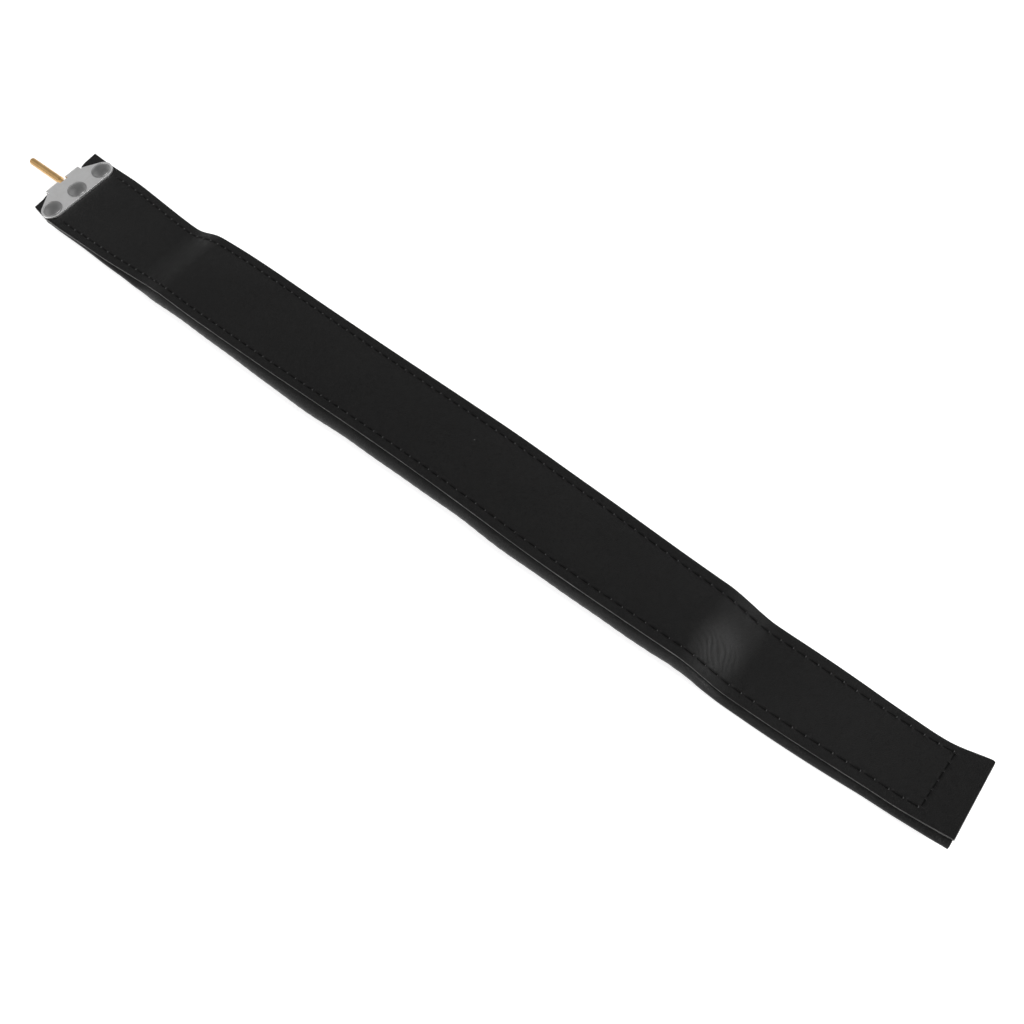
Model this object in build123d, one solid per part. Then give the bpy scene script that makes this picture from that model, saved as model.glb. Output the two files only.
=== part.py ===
from build123d import *
import math
import os

# Padded bass strap for an accordion, lying flat, face leather up.
# Millimetres. +X runs along the strap from the rod end to the plain end, +Y across it, +Z up.
# The origin is the centre of the whole part's footprint, on the surface that the strap lies on.

# ---- strap: distances along it are measured from the rivet line, then moved by RIVET_X ----
STRAP_START = -12.0          # leather corners behind the rivet line
STRAP_END = 491.0            # plain end
ROD_TIP = -41.6              # free end of the rod
RIVET_X = -(STRAP_END + ROD_TIP) / 2

FACE_T = 1.8                 # face leather
CORE_T = 0.8                 # stretch-stop strip under the face leather
LINING_T = 1.4               # lining leather
FLANGE_T = CORE_T + LINING_T
STACK_T = FACE_T + FLANGE_T

TAB_BASE = 2.0               # underside of the leather at the plate, above the rivet heads and lower leaf
PAD_FACE = 11.0              # top of the padded stretch
PLAIN_FACE = STACK_T         # top of the plain end, which lies on the surface
PLATE_FACE = TAB_BASE + STACK_T

PAD_RISE = (71.0, 94.0)      # where the face climbs onto the pad
PAD_FALL = (384.0, 408.0)    # where it comes down from it

# half width of the face leather at the stations that give the strap its waist and its taper
FACE_HALF_WIDTHS = [
    (STRAP_START, 22.0), (45.0, 21.2), (90.0, 20.0), (118.0, 21.1), (230.0, 19.8),
    (320.0, 19.0), (390.0, 17.2), (430.0, 16.7), (474.0, 15.1), (STRAP_END, 15.2),
]
# how far the turned edge of the lining stands out past the face leather
LINING_PROUD = [
    (STRAP_START, 0.2), (45.0, 0.9), (90.0, 2.0), (118.0, 2.4), (230.0, 2.6),
    (320.0, 2.6), (390.0, 2.5), (430.0, 2.2), (474.0, 2.0), (STRAP_END, 2.0),
]
OUTLINE_STEP = 12.0          # spacing of the points that carry the outline's curve
SEAM_MARGIN = 4.0            # seam line inside the face leather's edge
PAD_INSET = 1.8              # pad bulge inside the seam line
CORE_INSET = 2.0             # core strip inside the seam line
CORE_END_MARGIN = 6.0        # core strip short of the plain end
TUB_END_INSET = 4.0          # bulge inside the ends of the padded stretch
FOAM_END_INSET = 6.0

# ---- seams ----
STITCH_PITCH = 5.2
STITCH_LENGTH = 4.3
THREAD_W = 0.7
THREAD_T = 0.4
GROOVE_W = 1.3
GROOVE_D = 0.7
SEAM_START = 9.0
CROSS_SEAM_X = 478.7
CROSS_PITCH = 3.8

# ---- places where the strap bends: a gap between the leathers of two bodies ----
FLEX_GAP = 3.4
PLATE_FLEX_X = 46.0
PLAIN_FLEX_X = 428.0

# ---- end plate: one sheet folded round the rod's cross bar ----
SHEET_T = 1.0
RIVET_SPACING = 16.0
RIVET_COUNT = 3
EAR_R = 6.0
BOSS_HALF = 10.6
BOSS_ROOT_X = -10.3
BOSS_ROOT_HALF = 11.6
FOLD_X = -12.1
FOLD_Z = TAB_BASE + STACK_T / 2
FOLD_R_IN = STACK_T / 2
FOLD_R_OUT = FOLD_R_IN + SHEET_T
SLOT_HALF = 2.2
SLOT_FLOOR_X = FOLD_X - 0.5
RELIEF_X = -9.3              # leather stops here behind the fold
RELIEF_HALF = 11.0

# ---- rod and cross bar ----
ROD_R = 1.95
ROD_NECK_R = 1.35
ROD_SHOULDER = 3.4           # start of the cone from the bar's axis
ROD_CONE = 0.8
ROD_CHAMFER = 0.6
SPIGOT_R = 1.0
BAR_R = 1.9
BAR_LENGTH = 19.6

# ---- rivets: a post from below, a domed cap pressed on from above ----
CAP_R = 5.0
CAP_H = 2.0
HEAD_R = 4.6
HEAD_T = 1.0
HEAD_EDGE = 0.4
SHANK_R = 1.7
TIP_R = 1.4
TIP_LENGTH = 1.1
HOLE_R = SHANK_R + 0.05

TALL = 60.0                  # taller than anything in the part


def station_slope(table, i):
    """Slope of the smooth curve at one station: that of the line between its neighbours."""
    (x0, v0), (x1, v1) = table[max(i - 1, 0)], table[min(i + 1, len(table) - 1)]
    return (v1 - v0) / (x1 - x0)


def station_value(table, x):
    """Value at x on a smooth curve through a list of stations."""
    for i, ((x0, v0), (x1, v1)) in enumerate(zip(table, table[1:])):
        if x <= x1 or i == len(table) - 2:
            span = x1 - x0
            t = min(1.0, max(0.0, (x - x0) / span))
            rise = t * t * (3 - 2 * t)
            lead = span * station_slope(table, i) * t * (1 - t) ** 2
            trail = span * station_slope(table, i + 1) * t * t * (t - 1)
            return v0 + (v1 - v0) * rise + lead + trail
    return table[-1][1]


def face_half(x):
    """Half width of the face leather."""
    return station_value(FACE_HALF_WIDTHS, x)


def seam_y(x):
    """Distance of the seam lines from the centre line."""
    return face_half(x) - SEAM_MARGIN


def ease(x, span):
    """0 before the span, 1 after it, smooth between."""
    t = min(1.0, max(0.0, (x - span[0]) / (span[1] - span[0])))
    return t * t * (3 - 2 * t)


def face_top(x):
    """Height of the face leather's upper side."""
    return (PLATE_FACE + (PAD_FACE - PLATE_FACE) * ease(x, PAD_RISE)
            - (PAD_FACE - PLAIN_FACE) * ease(x, PAD_FALL))


def outline(half_width, x0=STRAP_START, x1=STRAP_END):
    """Flat face between x0 and x1, symmetrical about the centre line."""
    steps = math.ceil((x1 - x0) / OUTLINE_STEP)
    xs = [x0 + (x1 - x0) * i / steps for i in range(steps + 1)]
    left = Spline([(x, half_width(x)) for x in xs])
    right = Spline([(x, -half_width(x)) for x in xs])
    ends = [Line((x, -half_width(x)), (x, half_width(x))) for x in (x0, x1)]
    return make_face([left, right] + ends)


def slope_curve(span, z0, z1):
    """Side-view curve over a span, level at both ends; the same shape as ease()."""
    x0, x1 = span
    third = (x1 - x0) / 3
    return Bezier((x0, z0), (x0 + third, z0), (x1 - third, z1), (x1, z1))


def level_curve(drop):
    """Side-view curve that follows the face's upper side, drop below it."""
    z0, z1, z2 = (z - drop for z in (PLATE_FACE, PAD_FACE, PLAIN_FACE))
    return [
        Line((STRAP_START - 1, z0), (PAD_RISE[0], z0)),
        slope_curve(PAD_RISE, z0, z1),
        Line((PAD_RISE[1], z1), (PAD_FALL[0], z1)),
        slope_curve(PAD_FALL, z1, z2),
        Line((PAD_FALL[1], z2), (STRAP_END + 1, z2)),
    ]


def layer(plan, drop_top, drop_bottom):
    """Solid with the given plan, between two levels that follow the face's upper side."""
    z_top = PLATE_FACE - drop_top
    z_bottom = PLATE_FACE - drop_bottom
    z_end = PLAIN_FACE - PLATE_FACE
    sides = level_curve(drop_top) + level_curve(drop_bottom)
    sides.append(Line((STRAP_START - 1, z_bottom), (STRAP_START - 1, z_top)))
    sides.append(Line((STRAP_END + 1, z_bottom + z_end), (STRAP_END + 1, z_top + z_end)))
    side_view = Plane.XZ * make_face(sides)
    return extrude(side_view, TALL / 2, both=True) & extrude(plan, TALL)


def block(x0, x1, half, z0=-1.0, z1=TALL):
    """Box from x0 to x1, half wide each way."""
    return Pos((x0 + x1) / 2, 0, (z0 + z1) / 2) * Box(x1 - x0, 2 * half, z1 - z0)


def rivet_ys():
    """Rivet places across the strap."""
    first = -(RIVET_COUNT - 1) / 2 * RIVET_SPACING
    return [first + RIVET_SPACING * i for i in range(RIVET_COUNT)]


def rivet_holes():
    """Clearance holes for the rivet shanks."""
    return [Pos(0, y, TALL / 4) * Cylinder(HOLE_R, TALL) for y in rivet_ys()]


def seam_grooves(drop_top, drop_bottom):
    """Shallow channels along both long seams, and across the plain end."""
    plan_outer = outline(lambda x: seam_y(x) + GROOVE_W / 2, SEAM_START, CROSS_SEAM_X + GROOVE_W / 2)
    plan_inner = outline(lambda x: seam_y(x) - GROOVE_W / 2, SEAM_START - 1, CROSS_SEAM_X - GROOVE_W / 2)
    return layer(plan_outer - plan_inner, drop_top, drop_bottom)


def face_leather():
    """Full-length top strip with its raw cut edges."""
    solid = layer(outline(face_half), 0, FACE_T)
    solid -= seam_grooves(-1.0, GROOVE_D)
    solid -= block(STRAP_START - 1, RELIEF_X, RELIEF_HALF)
    return solid - rivet_holes()


def core_half(x):
    """Half width of the core strip."""
    return seam_y(x) - CORE_INSET


def tub_half(x):
    """Half width of the lining's pad bulge, outside."""
    return seam_y(x) - PAD_INSET


def foam_half(x):
    """Half width of the foam inside the bulge."""
    return tub_half(x) - LINING_T


def core_layer(raised):
    """The core strip's space, carried above its own top by the given amount."""
    plan = outline(core_half, RELIEF_X, STRAP_END - CORE_END_MARGIN)
    return layer(plan, FACE_T - raised, FACE_T + CORE_T)


def core_strip():
    """Thin stretch-stop strip between the two seams."""
    return core_layer(0) - rivet_holes()


def pad_envelope(half_width, base, end_inset, drop):
    """Closed block over the pad's length, from a flat base up to a level under the face."""
    x0 = PAD_RISE[0] + end_inset
    x1 = PAD_FALL[1] - end_inset
    body = layer(outline(half_width, x0, x1), drop, drop + TALL / 2)
    return body & block(x0 - 1, x1 + 1, TALL, base, TALL)


def foam():
    """Pad filling, tapered where the face comes down to the ends."""
    return pad_envelope(foam_half, LINING_T, FOAM_END_INSET, FACE_T + CORE_T)


def lining_leather():
    """Lower leather: turned edges under the face, and a tub that holds the foam."""
    flange = layer(outline(lambda x: face_half(x) + station_value(LINING_PROUD, x)), FACE_T, STACK_T)
    solid = flange + pad_envelope(tub_half, 0.0, TUB_END_INSET, FACE_T + CORE_T / 2)
    solid -= core_layer(CORE_T)
    solid -= pad_envelope(foam_half, LINING_T, FOAM_END_INSET, FACE_T + CORE_T / 2)
    solid -= seam_grooves(STACK_T - GROOVE_D, STACK_T + 1.0)
    solid -= block(STRAP_START - 1, RELIEF_X, RELIEF_HALF)
    return solid - rivet_holes()


def stitch(x, y, yaw, drop):
    """One thread float, laid along the seam at the given depth under the face."""
    step = 0.5
    pitch = math.atan2(face_top(x + step) - face_top(x - step), 2 * step)
    bar = Box(STITCH_LENGTH, THREAD_W, THREAD_T)
    place = Pos(x, y, face_top(x) - drop) * Rot(0, 0, math.degrees(yaw)) * Rot(0, -math.degrees(pitch), 0)
    return place * bar


def seam_stitches(side, drop, x0, x1):
    """Stitches of one long seam whose floats lie between x0 and x1."""
    solids = []
    count = int((CROSS_SEAM_X - SEAM_START) / STITCH_PITCH)
    for i in range(count):
        x = CROSS_SEAM_X - STITCH_PITCH * (i + 0.5)
        if x - STITCH_LENGTH / 2 > x0 and x + STITCH_LENGTH / 2 < x1:
            yaw = math.atan2(side * (seam_y(x + 2) - seam_y(x - 2)), 4)
            solids.append(stitch(x, side * seam_y(x), yaw, drop))
    return solids


def cross_stitches(drop):
    """Stitches of the short seam across the plain end."""
    half = seam_y(CROSS_SEAM_X)
    count = round(2 * half / CROSS_PITCH)
    pitch = 2 * half / count
    bar = Box(THREAD_W, pitch - 0.9, THREAD_T)
    z = face_top(CROSS_SEAM_X) - drop
    return [Pos(CROSS_SEAM_X, -half + pitch * (i + 0.5), z) * bar for i in range(count)]


def leaf_outline():
    """Plate outline: straight edge to the strap, round ears, straight flanks up to the boss."""
    ear_y = RIVET_SPACING * (RIVET_COUNT - 1) / 2
    plan = block(-EAR_R, EAR_R, ear_y, 0, SHEET_T)
    for side in (1, -1):
        plan += Pos(0, side * ear_y, SHEET_T / 2) * Cylinder(EAR_R, SHEET_T)
        root = Vector(BOSS_ROOT_X, side * BOSS_ROOT_HALF)
        ear = Vector(0, side * ear_y)
        reach = (root - ear).length
        to_root = math.atan2(root.Y - ear.Y, root.X - ear.X)
        turn = math.acos(EAR_R / reach)
        touch_angle = to_root - side * turn
        touch = ear + Vector(math.cos(touch_angle), math.sin(touch_angle)) * EAR_R
        flank = Polyline((0, 0), (BOSS_ROOT_X, 0), (root.X, root.Y), (touch.X, touch.Y), (0, side * ear_y),
                         close=True)
        plan += extrude(make_face(flank), SHEET_T)
    plan += block(FOLD_X, BOSS_ROOT_X, BOSS_HALF, 0, SHEET_T)
    return plan


def end_plate():
    """Sheet folded round the cross bar, a leaf above and a leaf below the leather."""
    upper = Pos(0, 0, PLATE_FACE) * leaf_outline()
    lower = Pos(0, 0, TAB_BASE - SHEET_T) * leaf_outline()
    at_fold = Pos(FOLD_X, 0, FOLD_Z) * Rot(90, 0, 0)
    fold = at_fold * Cylinder(FOLD_R_OUT, 2 * BOSS_HALF) - at_fold * Cylinder(FOLD_R_IN, 2 * BOSS_HALF + 1)
    fold &= block(FOLD_X - FOLD_R_OUT - 1, FOLD_X, TALL / 2)
    solid = upper + lower + fold
    solid -= block(FOLD_X - FOLD_R_OUT - 1, SLOT_FLOOR_X, SLOT_HALF)
    return solid - rivet_holes()


def cross_bar():
    """Trunnion inside the fold, drilled across for the rod's spigot."""
    bar = Pos(FOLD_X, 0, FOLD_Z) * Rot(90, 0, 0) * Cylinder(BAR_R, BAR_LENGTH)
    return bar - Pos(FOLD_X, 0, FOLD_Z) * Rot(0, 90, 0) * Cylinder(SPIGOT_R, 4 * BAR_R)


def draw_rod():
    """Rod turned with a neck and a spigot that is pressed through the cross bar."""
    length = FOLD_X - ROD_TIP
    profile = Polyline(
        (0, 0), (ROD_NECK_R, 0), (ROD_NECK_R, ROD_SHOULDER), (ROD_R, ROD_SHOULDER + ROD_CONE),
        (ROD_R, length - ROD_CHAMFER), (ROD_R - ROD_CHAMFER, length), (0, length), close=True)
    turned = revolve(Plane.XZ * make_face(profile), Axis.Z)
    turned = Pos(FOLD_X, 0, FOLD_Z) * Rot(0, -90, 0) * turned
    turned -= Pos(FOLD_X, 0, FOLD_Z) * Rot(90, 0, 0) * Cylinder(BAR_R, 4 * BAR_R)
    spigot = Pos(FOLD_X - 0.1, 0, FOLD_Z) * Rot(0, 90, 0) * Cylinder(SPIGOT_R, 2 * BAR_R - 0.2)
    return turned + spigot


def rivet_cap(y):
    """Low dome with a socket for the post's tip."""
    dome_r = (CAP_R ** 2 + CAP_H ** 2) / (2 * CAP_H)
    base = PLATE_FACE + SHEET_T
    dome = Pos(0, y, base + CAP_H - dome_r) * Sphere(dome_r)
    dome &= Pos(0, y, base + CAP_H / 2) * Cylinder(CAP_R + 1, CAP_H)
    return dome - Pos(0, y, base + TIP_LENGTH / 2) * Cylinder(TIP_R, TIP_LENGTH)


def rivet_post(y):
    """Flat head under the lower leaf, shank through the stack, thin tip in the cap."""
    head = Pos(0, y, HEAD_T / 2) * Cylinder(HEAD_R, HEAD_T)
    head = fillet(head.edges().group_by(Axis.Z)[0], HEAD_EDGE)
    top = PLATE_FACE + SHEET_T
    shank = Pos(0, y, (HEAD_T + top) / 2) * Cylinder(SHANK_R, top - HEAD_T)
    tip = Pos(0, y, top + TIP_LENGTH / 2) * Cylinder(TIP_R, TIP_LENGTH)
    return head + shank + tip


def body_spans():
    """Stretch of the strap that each body holds."""
    half_gap = FLEX_GAP / 2
    return {
        "plate_end": (STRAP_START - 1, PLATE_FLEX_X - half_gap),
        "pad": (PLATE_FLEX_X + half_gap, PLAIN_FLEX_X - half_gap),
        "plain_end": (PLAIN_FLEX_X + half_gap, STRAP_END + 1),
    }


def make_nodes():
    """Every node of the part, by name, still measured from the rivet line."""
    strips = {
        "face_leather": face_leather(),
        "core_strip": core_strip(),
        "lining_leather": lining_leather(),
    }
    nodes = {"foam_pad": foam()}
    thread_levels = {
        "needle_thread": GROOVE_D / 2,
        "bobbin_thread": STACK_T - GROOVE_D / 2,
    }
    for body, (x0, x1) in body_spans().items():
        for name, solid in strips.items():
            nodes[f"{name}_{body}"] = solid & block(x0, x1, TALL)
        for thread, drop in thread_levels.items():
            for side, side_name in ((1, "far"), (-1, "near")):
                nodes[f"{thread}_{side_name}_{body}"] = Compound(seam_stitches(side, drop, x0, x1))
    for thread, drop in thread_levels.items():
        nodes[f"{thread}_cross_seam"] = Compound(cross_stitches(drop))
    nodes["end_plate"] = end_plate()
    nodes["cross_bar"] = cross_bar()
    nodes["draw_rod"] = draw_rod()
    for name, y in zip(("near", "middle", "far"), rivet_ys()):
        nodes[f"rivet_cap_{name}"] = rivet_cap(y)
        nodes[f"rivet_post_{name}"] = rivet_post(y)
    return nodes


def main():
    """Write one STEP file for each node, in the part's own frame."""
    os.makedirs("parts", exist_ok=True)
    for name, solid in make_nodes().items():
        export_step(Pos(RIVET_X, 0, 0) * solid, f"parts/{name}.step")


main()
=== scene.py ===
"""Looks for a padded accordion bass strap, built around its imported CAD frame.

Lengths inside the classes are millimetres measured along the strap from the rivet line; every mesh is
written in metres in the row frame.
"""

import logging
import math
from collections.abc import Sequence
from dataclasses import dataclass
from enum import Enum

import bpy
import numpy as np
from mathutils import Matrix, Vector

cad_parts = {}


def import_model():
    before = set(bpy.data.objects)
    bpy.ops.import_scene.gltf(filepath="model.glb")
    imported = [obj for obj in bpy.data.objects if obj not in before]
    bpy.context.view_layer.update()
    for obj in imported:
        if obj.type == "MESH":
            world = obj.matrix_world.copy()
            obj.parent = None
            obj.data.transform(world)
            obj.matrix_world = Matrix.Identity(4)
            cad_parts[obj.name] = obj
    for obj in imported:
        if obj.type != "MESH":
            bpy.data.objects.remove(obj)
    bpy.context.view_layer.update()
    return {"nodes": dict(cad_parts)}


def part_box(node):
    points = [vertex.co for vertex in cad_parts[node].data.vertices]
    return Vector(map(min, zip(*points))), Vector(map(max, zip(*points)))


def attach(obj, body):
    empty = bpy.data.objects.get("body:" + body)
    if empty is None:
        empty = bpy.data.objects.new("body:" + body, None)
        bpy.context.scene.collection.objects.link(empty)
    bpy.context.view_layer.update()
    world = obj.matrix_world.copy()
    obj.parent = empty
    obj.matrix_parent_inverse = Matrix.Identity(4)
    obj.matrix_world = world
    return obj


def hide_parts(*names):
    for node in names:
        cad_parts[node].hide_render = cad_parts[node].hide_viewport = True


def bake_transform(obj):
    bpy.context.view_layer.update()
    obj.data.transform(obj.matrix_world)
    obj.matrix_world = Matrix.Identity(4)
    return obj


MM = 0.001
LOG = logging.getLogger("bass_strap")


class Side(Enum):
    """The two long sides of the strap."""

    NEAR = -1
    FAR = 1


class Half(Enum):
    """The two lengths that the long pieces are made in, one for each bending end."""

    PLATE = "plate"
    PLAIN = "plain"

    @property
    def bend_level(self) -> float:
        """Height of the middle of the tab that the half runs into."""
        return 4.0 if self is Half.PLATE else 2.0

    @property
    def parts(self) -> tuple[str, ...]:
        """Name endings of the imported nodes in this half."""
        return ("plate_end", "pad") if self is Half.PLATE else ("plain_end",)


# ---------------------------------------------------------------- mesh helpers


def only(piece: bpy.types.Object) -> bpy.types.Object:
    """Select one piece alone and make it active."""
    bpy.ops.object.select_all(action="DESELECT")
    piece.select_set(True)
    bpy.context.view_layer.objects.active = piece
    return piece


def added(name: str) -> bpy.types.Object:
    """Name the primitive that was just added."""
    piece = bpy.context.active_object
    piece.name = name
    piece.data.name = name
    return piece


def coords(piece: bpy.types.Object) -> np.ndarray:
    """Vertex places of a piece as an array."""
    flat = np.empty(len(piece.data.vertices) * 3)
    piece.data.vertices.foreach_get("co", flat)
    return flat.reshape(-1, 3)


def place(piece: bpy.types.Object, points: np.ndarray) -> None:
    """Give a piece new vertex places."""
    piece.data.vertices.foreach_set("co", np.ascontiguousarray(points, float).ravel())
    piece.data.update()


def apply_modifier(piece: bpy.types.Object, kind: str, **settings: object) -> None:
    """Add a modifier, set it and apply it.

    Args:
        piece: The piece to change.
        kind: Modifier type.
        settings: Values for the modifier's own properties.
    """
    modifier = piece.modifiers.new(kind.lower(), kind)
    for key, value in settings.items():
        setattr(modifier, key, value)
    only(piece)
    bpy.ops.object.modifier_apply(modifier=modifier.name)


def smooth(piece: bpy.types.Object, degrees: float = 40.0) -> None:
    """Shade smooth, with edges sharper than the angle left sharp."""
    only(piece)
    bpy.ops.object.shade_smooth_by_angle(angle=math.radians(degrees))


def grid_indices(name: str, rows: int, columns: int) -> tuple[bpy.types.Object, np.ndarray, np.ndarray]:
    """Add a grid and say which row and column each of its vertices is in.

    Args:
        name: Name of the new piece.
        rows: Number of vertices along the strap.
        columns: Number of vertices across it.

    Returns:
        The grid, each vertex's row and each vertex's column.
    """
    bpy.ops.object.select_all(action="DESELECT")
    bpy.ops.mesh.primitive_grid_add(x_subdivisions=rows - 1, y_subdivisions=columns - 1, size=1.0)
    piece = added(name)
    points = coords(piece)
    row = np.rint((points[:, 0] + 0.5) * (rows - 1)).astype(int)
    column = np.rint((points[:, 1] + 0.5) * (columns - 1)).astype(int)
    return piece, row, column


def tube_indices(name: str, rings: int, sides: int) -> tuple[bpy.types.Object, np.ndarray, np.ndarray]:
    """Add a capped tube, cut into rings, and say where each of its vertices is.

    Args:
        name: Name of the new piece.
        rings: Number of rings along the tube, at least three.
        sides: Number of vertices in each ring.

    Returns:
        The tube, each vertex's share along it from 0 to 1, and its angle round it.
    """
    bpy.ops.object.select_all(action="DESELECT")
    bpy.ops.mesh.primitive_cylinder_add(vertices=sides, radius=0.5, depth=1.0, end_fill_type="TRIFAN")
    piece = added(name)
    points = coords(piece)
    for edge in piece.data.edges:
        a, b = (points[i] for i in edge.vertices)
        edge.select = abs(a[2] - b[2]) > 0.5
    chosen = [edge.select for edge in piece.data.edges]
    bpy.ops.object.mode_set(mode="EDIT")
    bpy.ops.mesh.select_mode(type="EDGE")
    bpy.ops.mesh.select_all(action="DESELECT")
    bpy.ops.object.mode_set(mode="OBJECT")
    for edge, wanted in zip(piece.data.edges, chosen):
        edge.select = wanted
    bpy.ops.object.mode_set(mode="EDIT")
    bpy.ops.mesh.subdivide(number_cuts=rings - 2)
    bpy.ops.object.mode_set(mode="OBJECT")
    points = coords(piece)
    return piece, points[:, 2] + 0.5, np.arctan2(points[:, 1], points[:, 0])


def turned(name: str, profile: Sequence[tuple[float, float]], sides: int = 48) -> bpy.types.Object:
    """Turn a piece on a lathe about Z from rings that are extruded one from the other.

    Args:
        name: Name of the new piece.
        profile: Radius and height of each ring, from the bottom up; the ends are closed.
        sides: Number of vertices in each ring.

    Returns:
        The turned piece, in millimetres about the origin.
    """
    (radius, height), rest = profile[0], profile[1:]
    bpy.ops.object.select_all(action="DESELECT")
    bpy.ops.mesh.primitive_circle_add(vertices=sides, radius=radius, fill_type="NGON",
                                      location=(0, 0, height))
    piece = added(name)
    bpy.ops.object.transform_apply(location=True, rotation=True, scale=True)
    bpy.ops.object.mode_set(mode="EDIT")
    bpy.ops.mesh.select_mode(type="FACE")
    bpy.ops.mesh.select_all(action="SELECT")
    for next_radius, next_height in rest:
        bpy.ops.mesh.extrude_region_move(
            TRANSFORM_OT_translate={"value": (0.0, 0.0, next_height - height)})
        share = next_radius / radius
        bpy.ops.transform.resize(value=(share, share, 1.0), center_override=(0.0, 0.0, next_height))
        radius, height = next_radius, next_height
    bpy.ops.mesh.select_all(action="SELECT")
    bpy.ops.mesh.normals_make_consistent(inside=False)
    bpy.ops.object.mode_set(mode="OBJECT")
    return piece


def face_outwards(piece: bpy.types.Object) -> None:
    """Point every face outwards."""
    only(piece)
    bpy.ops.object.mode_set(mode="EDIT")
    bpy.ops.mesh.select_all(action="SELECT")
    bpy.ops.mesh.normals_make_consistent(inside=False)
    bpy.ops.object.mode_set(mode="OBJECT")


def linked(name: str, data: bpy.types.ID) -> bpy.types.Object:
    """Put an object with the given data in the scene."""
    made = bpy.data.objects.new(name, data)
    bpy.context.scene.collection.objects.link(made)
    return made


def middle_of(node: str) -> Vector:
    """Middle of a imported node's box."""
    low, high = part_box(node)
    return (low + high) / 2


def dressed(piece: bpy.types.Object, slot: str, *materials: bpy.types.Material) -> bpy.types.Object:
    """Give a piece its materials."""
    piece.data.materials.clear()
    for material in materials:
        piece.data.materials.append(material)
    return piece


# ---------------------------------------------------------------- strap form


def ease(s: np.ndarray, span: tuple[float, float]) -> np.ndarray:
    """0 before the span, 1 after it, smooth between."""
    t = np.clip((np.asarray(s, float) - span[0]) / (span[1] - span[0]), 0.0, 1.0)
    return t * t * (3.0 - 2.0 * t)


def hump(s: np.ndarray, centre: float, width: float) -> np.ndarray:
    """1 at the centre, falling away to both sides."""
    return np.exp(-(((np.asarray(s, float) - centre) / width) ** 2))


@dataclass(frozen=True)
class Stations:
    """A smooth curve through given stations along the strap."""

    points: tuple[tuple[float, float], ...]

    def at(self, s: np.ndarray) -> np.ndarray:
        """Value of the curve at each place along the strap."""
        xs, values = np.array(self.points).T
        count = len(xs)
        before = np.clip(np.arange(count) - 1, 0, None)
        after = np.clip(np.arange(count) + 1, None, count - 1)
        slopes = (values[after] - values[before]) / (xs[after] - xs[before])
        i = np.clip(np.searchsorted(xs, s) - 1, 0, count - 2)
        span = xs[i + 1] - xs[i]
        t = np.clip((s - xs[i]) / span, 0.0, 1.0)
        rise = (values[i + 1] - values[i]) * t * t * (3 - 2 * t)
        lead = span * slopes[i] * t * (1 - t) ** 2
        return values[i] + rise + lead + span * slopes[i + 1] * t * t * (t - 1)


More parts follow.
